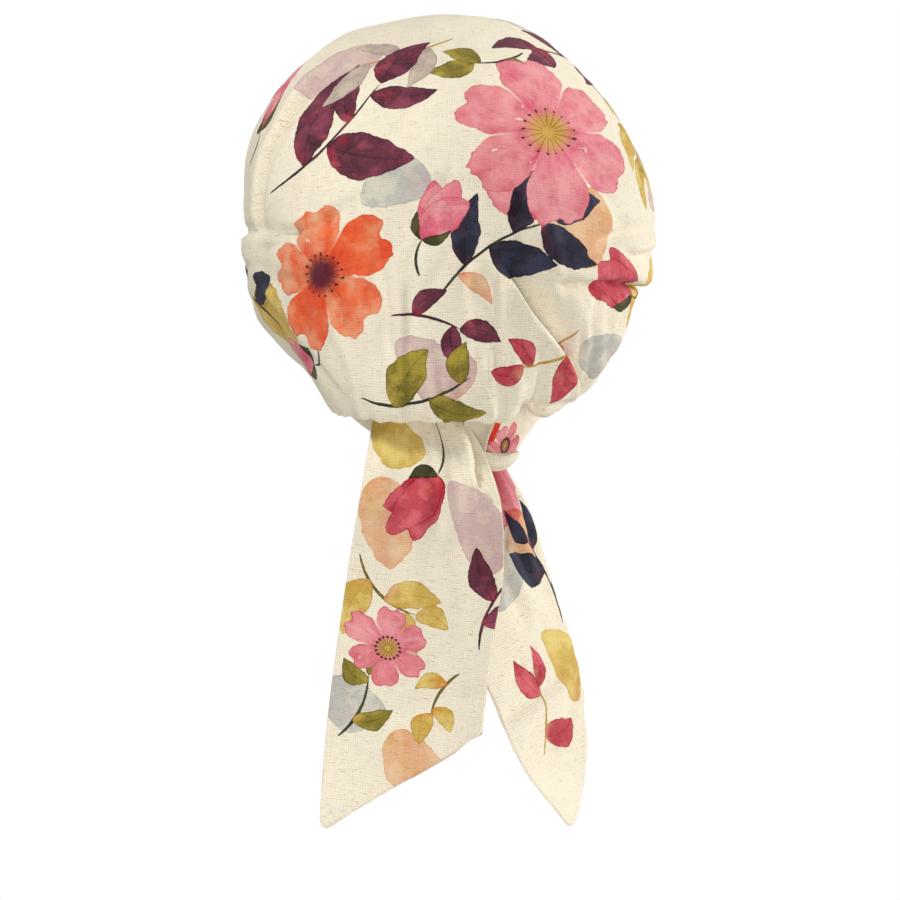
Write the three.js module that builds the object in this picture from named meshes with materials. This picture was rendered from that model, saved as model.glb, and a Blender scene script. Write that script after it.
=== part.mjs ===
// A soft turban of printed cloth, worn on the head: a full crown gathered into a band, and the band's
// two ties knotted at the nape, with their ends hanging.
//
// Millimetres. +Z is up, +Y is the way that the wearer faces, and +X is the wearer's right.
// The origin is the middle of the head opening. An azimuth is an angle round the crown's upright axis:
// 0 at the nape, 90 over the right ear, 180 at the forehead, 270 over the left ear.
import * as THREE from "three";

const CROWN_CLOTH = 1.6;
const BAND_CLOTH = 2.0;
const TIE_CLOTH = 1.8;
const GAP = 0.5;

const COLUMNS = 68;
const AXIS_Y = -10;
const CREST_Z = 199;

// The head opening is an ellipse seen from above, and slopes down evenly from forehead to nape.
const HEAD = { halfWidth: 81, halfDepth: 93, centreY: 5, centreZ: -5, slope: 0.72 };
const BAND = { heightBack: 42, heightFront: 58, lean: 5 };
// The knot pulls the band's lower edge down beside the nape.
const PULL = { azimuth: 27, width: 13, drop: 14 };

// One row for each 30 degrees of azimuth, from the nape round by the right ear. The hem is the lowest
// line of the crown, where its cloth turns under, and the belly its widest line. The last four columns
// say how square the curve is at the hem, below the belly, above it and at the crest.
// 0.55 in all four is an ellipse.
const CROWN_SECTIONS = [
  { hemR: 120, hemZ: -50, bellyR: 138, bellyZ: 70, foot: 0.52, lower: 0.52, rise: 0.58, crest: 0.6 },
  { hemR: 107, hemZ: -50, bellyR: 140, bellyZ: 68, foot: 0.48, lower: 0.48, rise: 0.5, crest: 0.62 },
  { hemR: 93, hemZ: -39, bellyR: 138, bellyZ: 66, foot: 0.46, lower: 0.38, rise: 0.36, crest: 0.7 },
  { hemR: 93, hemZ: -8, bellyR: 129, bellyZ: 64, foot: 0.4, lower: 0.34, rise: 0.31, crest: 0.74 },
  { hemR: 101, hemZ: 40, bellyR: 121, bellyZ: 88, foot: 0.5, lower: 0.5, rise: 0.4, crest: 0.7 },
  { hemR: 109, hemZ: 92, bellyR: 118, bellyZ: 118, foot: 0.54, lower: 0.54, rise: 0.54, crest: 0.62 },
  { hemR: 113, hemZ: 113, bellyR: 119, bellyZ: 137, foot: 0.55, lower: 0.55, rise: 0.58, crest: 0.6 },
  { hemR: 109, hemZ: 92, bellyR: 118, bellyZ: 118, foot: 0.54, lower: 0.54, rise: 0.6, crest: 0.58 },
  { hemR: 99, hemZ: 40, bellyR: 121, bellyZ: 94, foot: 0.4, lower: 0.6, rise: 0.7, crest: 0.52 },
  { hemR: 91, hemZ: -8, bellyR: 126, bellyZ: 78, foot: 0.1, lower: 0.78, rise: 0.74, crest: 0.5 },
  { hemR: 80, hemZ: -42, bellyR: 135, bellyZ: 74, foot: 0.04, lower: 0.64, rise: 0.72, crest: 0.52 },
  { hemR: 112, hemZ: -49, bellyR: 138, bellyZ: 72, foot: 0.4, lower: 0.54, rise: 0.64, crest: 0.56 },
];
const CROWN_ROWS = { under: 5, lower: 13, upper: 9 };
// How the cloth leaves the seam on its way to the hem, and how tightly it turns there.
const UNDERTURN = { share: 0.6, rise: 1, round: 10, roundShare: 0.4 };
// The hem is puckered upwards beside the knot.
const PUCKER = { azimuth: 29, width: 6, rise: 8 };

// Creases in the crown's outer cloth, each along a line from one azimuth and height to another. The
// cloth stands out by lip above or left of the line and goes in by pinch on its other side.
const CREASES = [
  { name: "right_slouch", azimuth: 40, z: 30, toAzimuth: 108, toZ: 29, lip: 5, pinch: 6.5, width: 9 },
  { name: "left_slouch", azimuth: 262, z: 64, toAzimuth: 328, toZ: 60, lip: 2, pinch: 3, width: 10 },
  { name: "left_brow", azimuth: 297, z: 88, toAzimuth: 308, toZ: 150, lip: -3, pinch: -1.5, width: 11 },
  { name: "hip", azimuth: 20, z: 20, toAzimuth: 38, toZ: -30, lip: -2.5, pinch: -3, width: 14 },
  { name: "pocket", azimuth: 50, z: 14, toAzimuth: 58, toZ: -16, lip: 0, pinch: 3, width: 15 },
];
const CREASE_RADIUS = 135;
const CREASE_OFFSET = 0.8;
// The rows over which the creases fade in above the hem.
const CREASE_START = 2;

// The gathers where the crown is sewn to the band.
const GATHERS = { count: 15, height: 2.2 };

// A tie end is a strip cut on a slant. One row for each 45 mm down its middle line: the place of the
// middle, half the strip's width, how far the strip bulges outwards between its edges, how far it is
// turned about an upright line so that its right edge goes forwards, and how far that edge is raised.
const TAIL_STEP = 45;
const PLEATS = { count: 3, fade: 54 };
const TAIL_LEFT = {
  shortEdge: 194,
  longEdge: 261,
  pleat: 3.2,
  rows: [
    { x: -17, y: -102, z: -44, half: 27, bulge: 8, turn: 0, tilt: 0 },
    { x: -10, y: -123, z: -89, half: 41, bulge: 4, turn: 0, tilt: -2 },
    { x: -11.3, y: -117, z: -134, half: 47, bulge: 6, turn: 0, tilt: -6 },
    { x: -17.8, y: -115, z: -178.6, half: 47.2, bulge: 6, turn: -2, tilt: -7.5 },
    { x: -23.7, y: -114, z: -223, half: 47.6, bulge: 5, turn: -4, tilt: -7.5 },
    { x: -28, y: -116, z: -268, half: 48, bulge: 4, turn: -5, tilt: -7 },
    { x: -31.5, y: -120, z: -312, half: 47, bulge: 3, turn: -5, tilt: -7 },
  ],
};
const TAIL_RIGHT = {
  shortEdge: 173,
  longEdge: 224,
  pleat: 1.6,
  rows: [
    { x: 21, y: -100.5, z: -66, half: 6, bulge: 0, turn: 0, tilt: 0 },
    { x: 33, y: -95, z: -112, half: 28, bulge: 3, turn: 35, tilt: 6 },
    { x: 39, y: -75, z: -160, half: 46, bulge: 6, turn: 50, tilt: 14 },
    { x: 53, y: -68, z: -206, half: 48, bulge: 6, turn: 52, tilt: 25 },
    { x: 69.5, y: -66, z: -250, half: 48, bulge: 5, turn: 57, tilt: 37 },
    { x: 96.5, y: -66, z: -286, half: 48, bulge: 4, turn: 57, tilt: 38 },
  ],
};
const TAIL_GRID = { along: 26, across: 8 };
const BAND_ROWS = 4;

// The knot is a soft roll that passes in front of the right tie end's root and bends back behind it.
const KNOT_ROUTE = [
  [-7, -94.5, -67],
  [5, -101.5, -70],
  [14, -106.3, -73.7],
  [24, -108.7, -76.3],
  [32, -108.5, -77],
  [39.5, -104, -76.5],
  [42, -96, -75.5],
  [34, -89, -74.5],
  [22, -90.5, -73],
];
const KNOT = { halfHeight: 6, halfDepth: 3.6, ridges: 3, ridge: 0.7, steps: 26, sides: 12, twist: 1.5 };

const radians = THREE.MathUtils.degToRad;
const bell = (x) => Math.exp(-x * x);

// A smooth curve through four evenly spaced values, read between the middle two.
function between(a, b, c, d, f) {
  return b + 0.5 * f * (c - a + f * (2 * a - 5 * b + 4 * c - d + f * (3 * (b - c) + d - a)));
}

// One column of evenly spaced rows round a closed ring, read at an azimuth.
function ringValue(rows, column, azimuth) {
  const count = rows.length;
  const at = (((azimuth / 360) % 1) + 1) * count;
  const i = Math.floor(at);
  const [a, b, c, d] = [-1, 0, 1, 2].map((k) => rows[(i + k) % count][column]);
  return between(a, b, c, d, at - i);
}

// One column of evenly spaced rows along a strip, read at a place from 0 to the last row.
function stripValue(rows, column, at) {
  const last = rows.length - 1;
  const i = Math.min(Math.floor(at), last - 1);
  const [a, b, c, d] = [-1, 0, 1, 2].map((k) => rows[Math.min(Math.max(i + k, 0), last)][column]);
  return between(a, b, c, d, at - i);
}

// The shortest turn from one azimuth to another, in degrees.
function turnTo(from, to) {
  return ((((to - from) % 360) + 540) % 360) - 180;
}

// A point of a cubic curve through its two ends, drawn towards its two inner points.
function bezier(points, t) {
  const s = 1 - t;
  const weights = [s * s * s, 3 * s * s * t, 3 * s * t * t, t * t * t];
  return [0, 1].map((k) => points.reduce((sum, p, i) => sum + p[k] * weights[i], 0));
}

// The head opening's distance from the crown's axis at an azimuth.
function headReach(azimuth) {
  const sine = Math.sin(radians(azimuth));
  const cosine = Math.cos(radians(azimuth));
  const back = HEAD.centreY - AXIS_Y;
  const a = (sine / HEAD.halfWidth) ** 2 + (cosine / HEAD.halfDepth) ** 2;
  const b = (back * cosine) / HEAD.halfDepth ** 2;
  const c = (back / HEAD.halfDepth) ** 2 - 1;
  return (-b + Math.sqrt(b * b - a * c)) / a;
}

// The place at a distance from the crown's axis, on an azimuth.
function around(azimuth, reach, z) {
  const angle = radians(azimuth);
  return new THREE.Vector3(Math.sin(angle) * reach, AXIS_Y - Math.cos(angle) * reach, z);
}

// The share of the way from the nape to the forehead at an azimuth.
function frontShare(azimuth) {
  return (1 - Math.cos(radians(azimuth))) / 2;
}

// The band's upper edge at an azimuth, as distance from the axis and height.
function bandTop(azimuth) {
  const reach = headReach(azimuth);
  const share = frontShare(azimuth);
  const y = AXIS_Y - Math.cos(radians(azimuth)) * reach;
  const rim = HEAD.centreZ + HEAD.slope * (y - HEAD.centreY);
  const height = BAND.heightBack + (BAND.heightFront - BAND.heightBack) * share;
  return { reach: reach + BAND.lean * (1 - 2 * share), rim, z: rim + height };
}

// A point of the band's outer face, from its lower edge at share 0 to its upper edge at share 1.
function bandPoint(azimuth, share) {
  const top = bandTop(azimuth);
  const foot = headReach(azimuth);
  const pulled = PULL.drop * bell(turnTo(PULL.azimuth, azimuth) / PULL.width);
  const rim = top.rim - pulled;
  return around(azimuth, foot + (top.reach - foot) * share, rim + (top.z - rim) * share);
}

// How far the creases move the crown's outer cloth outwards at an azimuth and height.
function creaseDepth(azimuth, z) {
  return CREASES.reduce((sum, crease) => {
    const runAlong = radians(turnTo(crease.azimuth, crease.toAzimuth)) * CREASE_RADIUS;
    const runUp = crease.toZ - crease.z;
    const along = radians(turnTo(crease.azimuth, azimuth)) * CREASE_RADIUS;
    const up = z - crease.z;
    const length = Math.hypot(runAlong, runUp);
    const share = (along * runAlong + up * runUp) / length ** 2;
    const side = (up * runAlong - along * runUp) / length / crease.width;
    const past = Math.max(0, -share, share - 1) * (length / crease.width / 2);
    const shape = crease.lip * bell(side - CREASE_OFFSET) - crease.pinch * bell(side + CREASE_OFFSET);
    return sum + shape * bell(past);
  }, 0);
}

// A point of the crown's outer cloth before its creases. Row 0 is the seam on the band.
function crownBase(azimuth, row) {
  const { under, lower, upper } = CROWN_ROWS;
  const value = (column) => ringValue(CROWN_SECTIONS, column, azimuth);
  const seam = bandTop(azimuth);
  const puckered = PUCKER.rise * bell(turnTo(PUCKER.azimuth, azimuth) / PUCKER.width);
  const hem = [value("hemR"), value("hemZ") + puckered];
  const belly = [value("bellyR"), value("bellyZ")];
  if (row < under) {
    const start = [seam.reach + GAP, seam.z + GAP];
    const overhang = hem[0] - start[0];
    const out = [start[0] + UNDERTURN.share * overhang, start[1] + UNDERTURN.rise];
    const turned = [hem[0] - Math.min(UNDERTURN.round, UNDERTURN.roundShare * overhang), hem[1]];
    return around(azimuth, ...bezier([start, out, turned, hem], row / under));
  }
  if (row < under + lower) {
    const out = [hem[0] + value("foot") * (belly[0] - hem[0]), hem[1]];
    const rise = [belly[0], belly[1] - value("lower") * (belly[1] - hem[1])];
    return around(azimuth, ...bezier([hem, out, rise, belly], (row - under) / lower));
  }
  const crest = [0, CREST_Z];
  const rise = [belly[0], belly[1] + value("rise") * (CREST_Z - belly[1])];
  const back = [value("crest") * belly[0], CREST_Z];
  return around(azimuth, ...bezier([belly, rise, back, crest], (row - under - lower) / upper));
}

// The outward direction of a grid of points. Columns run round the axis if the grid is closed.
function gridNormal(grid, i, j, closed) {
  const columns = grid.length;
  const rows = grid[0].length;
  const before = closed ? (i + columns - 1) % columns : Math.max(i - 1, 0);
  const after = closed ? (i + 1) % columns : Math.min(i + 1, columns - 1);
  const along = grid[after][j].clone().sub(grid[before][j]);
  const up = grid[i][Math.min(j + 1, rows - 1)].clone().sub(grid[i][Math.max(j - 1, 0)]);
  return along.cross(up).normalize();
}

// A wall of cloth between a grid of points on its outer face and the same grid moved inwards. With a
// pole, the last point of every column is the same one.
function clothWall(grid, thickness, { closed = false, pole = false } = {}) {
  const columns = grid.length;
  const rows = pole ? grid[0].length - 1 : grid[0].length;
  const positions = [];
  const put = (point) => positions.push(...point.toArray()) / 3 - 1;
  const inwards = (i, j) => gridNormal(grid, i, j, closed).multiplyScalar(-thickness);
  const outer = grid.map((line) => line.slice(0, rows).map(put));
  const inner = outer.map((line, i) => line.map((_, j) => put(grid[i][j].clone().add(inwards(i, j)))));
  const faces = [];
  const quad = (a, b, c, d) => faces.push(a, b, c, a, c, d);
  const last = closed ? columns : columns - 1;
  for (let i = 0; i < last; i += 1) {
    const next = (i + 1) % columns;
    for (let j = 0; j < rows - 1; j += 1) {
      const rising = grid[i][j].distanceTo(grid[next][j + 1]);
      const falling = grid[next][j].distanceTo(grid[i][j + 1]);
      const [front, back] = [outer, inner].map((side) => {
        const corners = [side[i][j], side[next][j], side[next][j + 1], side[i][j + 1]];
        return rising < falling ? corners : [...corners.slice(1), corners[0]];
      });
      quad(...front);
      quad(back[0], back[3], back[2], back[1]);
    }
    quad(outer[i][0], inner[i][0], inner[next][0], outer[next][0]);
    if (!pole) quad(outer[i][rows - 1], outer[next][rows - 1], inner[next][rows - 1], inner[i][rows - 1]);
  }
  if (!closed) {
    for (let j = 0; j < rows - 1; j += 1) {
      quad(outer[0][j], outer[0][j + 1], inner[0][j + 1], inner[0][j]);
      quad(outer[last][j], inner[last][j], inner[last][j + 1], outer[last][j + 1]);
    }
  }
  if (pole) {
    const tip = grid[0][rows];
    const outerTip = put(tip);
    const innerTip = put(new THREE.Vector3(tip.x, tip.y, tip.z - thickness));
    for (let i = 0; i < columns; i += 1) {
      const next = (i + 1) % columns;
      faces.push(outer[i][rows - 1], outer[next][rows - 1], outerTip);
      faces.push(inner[next][rows - 1], inner[i][rows - 1], innerTip);
    }
  }
  const geometry = new THREE.BufferGeometry();
  geometry.setAttribute("position", new THREE.Float32BufferAttribute(positions, 3));
  geometry.setIndex(faces);
  geometry.computeVertexNormals();
  return geometry;
}

// The crown: its base shape, moved outwards by gathers near the seam and by the creases.
function crownGeometry() {
  const { under, lower, upper } = CROWN_ROWS;
  const rows = under + lower + upper;
  const azimuths = Array.from({ length: COLUMNS }, (_, i) => (360 * i) / COLUMNS);
  const base = azimuths.map((azimuth) =>
    Array.from({ length: rows + 1 }, (_, row) => crownBase(azimuth, row)),
  );
  const shaped = base.map((line, i) =>
    line.map((point, j) => {
      const gathered = Math.sin((Math.PI * j) / (under + lower)) * (j < under + lower ? 1 : 0);
      const ripple = GATHERS.height * gathered * Math.cos(radians(GATHERS.count * azimuths[i]));
      const outside = THREE.MathUtils.smoothstep(j, under, under + CREASE_START);
      const crested = j === rows ? 0 : 1;
      const moved = ripple * frontShare(azimuths[i]) + outside * crested * creaseDepth(azimuths[i], point.z);
      return point.clone().addScaledVector(gridNormal(base, i, j, true), moved);
    }),
  );
  return clothWall(shaped, CROWN_CLOTH, { closed: true, pole: true });
}

function bandGeometry() {
  const grid = Array.from({ length: COLUMNS }, (_, i) =>
    Array.from({ length: BAND_ROWS + 1 }, (_, j) => bandPoint((360 * i) / COLUMNS, j / BAND_ROWS)),
  );
  return clothWall(grid, BAND_CLOTH, { closed: true });
}

// A tie end. Across runs from its left edge to its right edge, and the left edge is the longer one.
function tailGeometry(tail) {
  const { along, across } = TAIL_GRID;
  const grid = Array.from({ length: across + 1 }, (_, i) => {
    const side = (2 * i) / across - 1;
    const length = (tail.longEdge + tail.shortEdge) / 2 - (side * (tail.longEdge - tail.shortEdge)) / 2;
    return Array.from({ length: along + 1 }, (_, j) => {
      const down = length * (1 - j / along);
      const value = (column) => stripValue(tail.rows, column, down / TAIL_STEP);
      const turn = radians(value("turn"));
      const tilt = radians(value("tilt"));
      const reach = new THREE.Vector3(
        Math.cos(turn) * Math.cos(tilt),
        Math.sin(turn),
        Math.cos(turn) * Math.sin(tilt),
      );
      const outwards = new THREE.Vector3(Math.sin(turn), -Math.cos(turn), 0);
      const pleated = tail.pleat * Math.cos(PLEATS.count * Math.PI * side) * bell(down / PLEATS.fade);
      const bulged = value("bulge") * (1 - side * side);
      return new THREE.Vector3(value("x"), value("y"), value("z"))
        .addScaledVector(reach, side * value("half"))
        .addScaledVector(outwards, bulged + pleated);
    });
  });
  return clothWall(grid, TIE_CLOTH);
}

// The knot's loop: a soft ridged roll along its route, with the ridges turning as it goes.
function knotGeometry() {
  const outline = new THREE.Shape(
    Array.from({ length: KNOT.sides }, (_, i) => {
      const angle = (2 * Math.PI * i) / KNOT.sides;
      const ridge = KNOT.ridge * Math.cos(KNOT.ridges * angle + KNOT.twist);
      return new THREE.Vector2(
        (KNOT.halfHeight + ridge) * Math.cos(angle),
        (KNOT.halfDepth + ridge) * Math.sin(angle),
      );
    }),
  );
  const route = new THREE.CatmullRomCurve3(KNOT_ROUTE.map((place) => new THREE.Vector3(...place)));
  return new THREE.ExtrudeGeometry(outline, { steps: KNOT.steps, extrudePath: route });
}

// One named piece of printed cloth.
function piece(name, geometry, colour) {
  const material = new THREE.MeshStandardMaterial({ color: colour, roughness: 0.85, metalness: 0 });
  const mesh = new THREE.Mesh(geometry, material);
  mesh.name = name;
  return mesh;
}

const CREAM = 0xf3ecd6;
const SHADED_CREAM = 0xe9e0c8;

const turban = new THREE.Group();
turban.add(piece("crown", crownGeometry(), CREAM));
turban.add(piece("band", bandGeometry(), CREAM));
turban.add(piece("knot", knotGeometry(), SHADED_CREAM));
turban.add(piece("tail_left", tailGeometry(TAIL_LEFT), CREAM));
turban.add(piece("tail_right", tailGeometry(TAIL_RIGHT), CREAM));

export default turban;
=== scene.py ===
import math
from functools import partialmethod

import bpy
import numpy as np
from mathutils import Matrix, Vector


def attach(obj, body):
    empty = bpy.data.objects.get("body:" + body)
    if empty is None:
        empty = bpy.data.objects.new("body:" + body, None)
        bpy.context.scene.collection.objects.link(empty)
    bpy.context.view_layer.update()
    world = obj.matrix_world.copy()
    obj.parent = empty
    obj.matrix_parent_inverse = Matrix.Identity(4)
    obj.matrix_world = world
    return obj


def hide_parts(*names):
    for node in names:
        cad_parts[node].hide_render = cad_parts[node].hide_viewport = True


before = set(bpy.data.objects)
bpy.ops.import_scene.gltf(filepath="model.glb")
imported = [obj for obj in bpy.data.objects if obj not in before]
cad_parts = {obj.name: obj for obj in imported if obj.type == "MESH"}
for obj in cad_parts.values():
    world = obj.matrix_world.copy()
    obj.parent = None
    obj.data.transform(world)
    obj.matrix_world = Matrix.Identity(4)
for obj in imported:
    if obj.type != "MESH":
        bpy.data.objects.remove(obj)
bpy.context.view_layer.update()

MM = 0.001
FULL_TURN = 2 * math.pi
UP = np.array((0, 0, 1.0))

# The crown's upright axis stands at this Y, and azimuths run round it from the nape by the right ear.
AXIS_Y = -10
CREST_Z = 199
HEAD = {"half_width": 81, "half_depth": 93, "centre_y": 5, "centre_z": -5, "slope": 0.72}

# The crown's sections at evenly spaced azimuths: distance and height of the hem, the same of the belly,
# and how full the curves between are: foot, lower, rise and crest.
CROWN_SECTIONS = (
    (120, -50, 138, 70, 0.52, 0.52, 0.58, 0.6),
    (107, -50, 140, 68, 0.48, 0.48, 0.5, 0.62),
    (93, -39, 138, 66, 0.46, 0.38, 0.36, 0.7),
    (93, -8, 129, 64, 0.4, 0.34, 0.31, 0.74),
    (101, 40, 121, 88, 0.5, 0.5, 0.4, 0.7),
    (109, 92, 118, 118, 0.54, 0.54, 0.54, 0.62),
    (113, 113, 119, 137, 0.55, 0.55, 0.58, 0.6),
    (109, 92, 118, 118, 0.54, 0.54, 0.6, 0.58),
    (99, 40, 121, 94, 0.4, 0.6, 0.7, 0.52),
    (91, -8, 126, 78, 0.1, 0.78, 0.74, 0.5),
    (80, -42, 135, 74, 0.04, 0.64, 0.72, 0.52),
    (112, -49, 138, 72, 0.4, 0.54, 0.64, 0.56),
)
# The hem is puckered upwards beside the knot and lifted a little past it: azimuth, width and rise.
PUCKERS = ((26.5, 4, 10), (47, 8, 3))
# The crown's columns, and its rows under the hem, from there to the belly and from there to the crest.
COLUMNS = 352
UNDER, LOWER, UPPER = 16, 64, 52
# The share by which the crown's columns crowd towards the nape.
CROWD = 0.055
CROWN_CLOTH = 1.1
# The crown starts this far outside the band and above it.
SEAM_GAP = 0.5
# Two flat maps of the crown, as seen from its centre: the attribute, the direction and the radius in mm.
CROWN_CENTRE = np.array((0, -10, 70))
CROWN_MAPS = (("cloth", (0, -0.94, 0.34), 135), ("cloth_front", (0, 0.8, 0.6), 125))

# Creases in the crown, each along a line from one azimuth and height to another, which bows upwards by bow.
# The cloth stands out by lip on the upper side, goes in by pinch on the other, and its lip sinks by sag.
# All of that dies away by the share fade on the way to its far end.
# Columns: azimuth, height, azimuth and height of the end, bow, lip, pinch, width, sag, fade.
CREASES = (
    (116, 37.5, 36, 37, 1, 3.6, 14, 6.5, 3, 0.25),
    (116, 37, 67, 36, 0, 0, 0, 9, 6, 0),
    (58, 55, 104, 46, 3, 3.4, 3.6, 6, 2, 0.85),
    (250, 60.5, 316, 61.5, 1, -6.5, -1.8, 4, 0, 0.4),
    (312, 62, 336, 86, -2, 3, 2.4, 5, 0, 0.3),
    (276, 46, 312, 40, 3, 1.2, 2, 7, 0.5, 0.6),
    (309, 152, 299, 76, 2, 3.2, 8, 7, 0, 0.25),
    (19, 31, 46, -34, -2, -13, -4, 9, 0, 0.45),
    (19, 33, 45, -34, -2, -5, -5.5, 4.5, 0, 0.4),
    (26, -39, 46, -37, -2, 0, 3.4, 4, 0, 0.3),
    (56, 8, 50, -30, 2, 2, 2.6, 5, 0, 0.5),
    (68, 4, 58, -22, 2, 2, 2.6, 5.5, 0, 0.5),
    (82, 12, 70, -8, 2, 2, 2.8, 6, 0, 0.5),
    (-17, 60, -15, -14, 2, 1.7, 2.8, 5, 0, 0.4),
    (-11, 26, -12, -44, -2, 2, 2.3, 4.5, 0, 0),
    (3, 68, 9, 26, 3, 1.6, 2.8, 5, 0, 0.3),
    (6, 44, 7, 0, -1, 2.2, 1.9, 4.5, 0, 0.5),
    (16, 80, 28, 28, 4, 1.9, 3.1, 6.5, 0, 0.4),
    (-6, 98, 14, 93, 2, 1.8, 2.6, 5, 0, 0.6),
    (-24, 104, -2, 84, 2, 1.6, 2.2, 6, 0, 0.6),
    (48, 64, 80, 68, 4, 2.5, 3.6, 7, 1, 0.9),
    (-30, 12, -24, -46, 3, -1.2, -2, 6, 0, 0),
    (-3, -8, -2, -52, 1, -1.1, -1.4, 5, 0, 0),
    (13, -14, 14, -52, 1, -1.4, -1.6, 5, 0, 0),
    (33, 130, 50, 80, 4, 1.1, 2.2, 8, 0, 0.6),
    (58, 130, 70, 96, 4, 1.2, 2, 8, 0, 0.6),
    (300, 22, 324, -24, 2, 1.2, 2.2, 7, 0, 0.3),
    (222, 60, 262, 40, 5, 2.4, 4, 9, 2.5, 0.5),
    (116, 65, 142, 92, 5, 2.4, 4, 9, 2.5, 0.5),
    (150, 138, 176, 150, 4, 1.6, 2.4, 9, 0.6, 0.5),
    (186, 152, 214, 136, 4, 1.6, 2.4, 9, 0.6, 0.5),
    (120, 66, 132, 120, 3, 1.4, 2.4, 8, 0, 0.4),
    (238, 66, 230, 118, -3, 1.4, 2.4, 8, 0, 0.4),
)
# Distances round the crown are measured at this radius, in mm.
CREASE_RADIUS = 135
# How much of a crease is a sharp step, the rest being soft, and half the step's width in mm.
SHARP = 0.6
STEP_HALF = 1.9
# How far a crease weaves from side to side, as a share of its width.
WEAVING = 0.2
# Wide soft swellings and hollows: where, how wide and how high in mm, and how far out.
SWELLINGS = (
    (90, 159, 70, 20, -4.8),
    (270, 172, 60, 22, -2.6),
    (283, 12, 45, 17, 3.8),
    (274, 38, 40, 14, 1.6),
    (80, 12, 45, 17, -3.8),
)
# Zones of small wrinkles: azimuths, heights, direction in degrees above level, how many, and how deep.
WRINKLES = (
    (-50, -2, 20, 105, 62, 12, 1.0),
    (0, 36, -10, 80, 100, 10, 1.1),
    (34, 80, -30, 24, 118, 10, 1.3),
    (40, 100, 36, 70, 18, 8, 1.3),
    (262, 325, 30, 74, 10, 9, 1.2),
    (-70, -10, 110, 160, 35, 8, 0.8),
    (10, 80, 100, 170, -50, 9, 0.8),
    (95, 265, 70, 175, 80, 22, 1.1),
    (215, 325, -10, 60, 60, 12, 1.1),
    (-40, 30, -45, 0, 95, 12, 1.0),
)
# Each wrinkle's length and width in mm, from and to.
WRINKLE_LENGTH = (14, 34)
WRINKLE_WIDTH = (2.8, 5)
# The gathers along the seam: width in degrees, height and reach in mm, lean, and degrees to the next.
GATHER = {"width": (1.6, 2.6), "height": (1, 2.6), "reach": (8, 24), "lean": (-0.12, 0.12), "apart": (4.5, 9)}
# Random waves in each cloth: their length in mm, how many, a seed, and their height in mm.
CROWN_WAVES = ((62, 14, 3, 1.1), (24, 18, 5, 0.3))
BAND_WAVES = ((30, 12, 21, 0.35),)
TIE_WAVES = ((70, 10, 31, 0.9), (22, 14, 33, 0.22))

# The band's heights and a mean one for its grid, its lean, and its cloth's thickness.
BAND = {"height_back": 42, "height_front": 58, "mean": 45, "lean": 5, "cloth": 2.2}
BAND_GRID = {"columns": 300, "rows": 26}
# The row of the band's grid whose length gives its flat places.
ARC_ROW = 13
# The band's lower edge is pulled down beside the knot, and dips and comes forward to go into its roll.
PULL = {"azimuth": 27, "width": 13, "drop": 14}
TUCK = {"azimuth": 19, "width": 7, "drop": 3, "out": 4}
# Pleats in the band die away on both sides of this azimuth.
BAND_PLEATS = {"azimuth": 22, "width": 45, "height": 0.9}

# The tie ends' cloth, half width, grid, mean length, rounding at the tips, and pleats at the knot.
TIE = {"cloth": 1.9, "half": 48, "columns": 52, "rows": 130, "mean": 230, "tip": 7.0, "pleat": 1.6}
# The rows of a tie end stand this far apart down it: x, y, z, half width, bulge, turn and tilt.
TAIL_STEP = 45
# A tie end's creases: start and end, as share of this half width and mm down it, lip, pinch and width.
CREASE_HALF = 40
TAILS = {
    "tail_left": {
        "short_edge": 194,
        "long_edge": 261,
        "peek": 1.3,
        "rows": (
            (-17, -102, -44, 27, 8, 0, 0),
            (-10, -123, -89, 41, 4, 0, -2),
            (-11.3, -117, -134, 47, 6, 0, -6),
            (-17.8, -115, -178.6, 47.2, 6, -2, -7.5),
            (-23.7, -114, -223, 47.6, 5, -4, -7.5),
            (-28, -116, -268, 48, 4, -5, -7),
            (-31.5, -120, -312, 47, 3, -5, -7),
        ),
        "creases": (
            (0.74, 40, 0.97, 4, 2, 7, 3.4),
            (0.94, 56, 0.76, 42, 1, 4, 3),
            (0.52, -6, 0.6, 40, 2, 1.6, 4),
            (0.3, -4, 0.44, 56, 1.6, 2.2, 4),
            (0.06, -4, 0.14, 66, 1.4, 1.6, 5),
            (-0.24, -4, -0.2, 60, 1.2, 1.4, 5),
            (-0.5, 4, -0.3, 110, 1, 1.2, 8),
            (0.3, 60, 0.62, 132, 1, 1.2, 8),
            (0.1, 96, 0.35, 160, 0.8, 0.8, 9),
            (-0.6, 150, -0.2, 196, 0.7, 0.9, 10),
            (-0.9, 62, -0.2, 78, 0.7, 0.9, 7),
            (0.2, 176, 0.9, 168, 0.6, 0.8, 7),
        ),
    },
    "tail_right": {
        "short_edge": 173,
        "long_edge": 224,
        "peek": 0.6,
        "rows": (
            (21, -100.5, -66, 6, 0, 0, 0),
            (29.5, -95, -112, 28, 3, 35, 6),
            (36, -75, -160, 46, 6, 50, 14),
            (53, -68, -206, 48, 6, 52, 25),
            (69.5, -66, -250, 48, 5, 57, 37),
            (96.5, -66, -286, 48, 4, 57, 38),
        ),
        "creases": (
            (0.3, 10, 0.5, 80, 1.6, 3, 6),
            (-0.2, 10, 0.1, 100, 1.4, 2, 7),
            (0.75, 20, 0.8, 120, 1.4, 1.6, 6),
            (0.9, 146, -0.7, 152, 1.4, 2, 6),
            (0.9, 164, -0.2, 178, 0.8, 1.2, 6),
            (0.2, 100, 0.6, 140, 0.8, 1.4, 8),
        ),
    },
}

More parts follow.
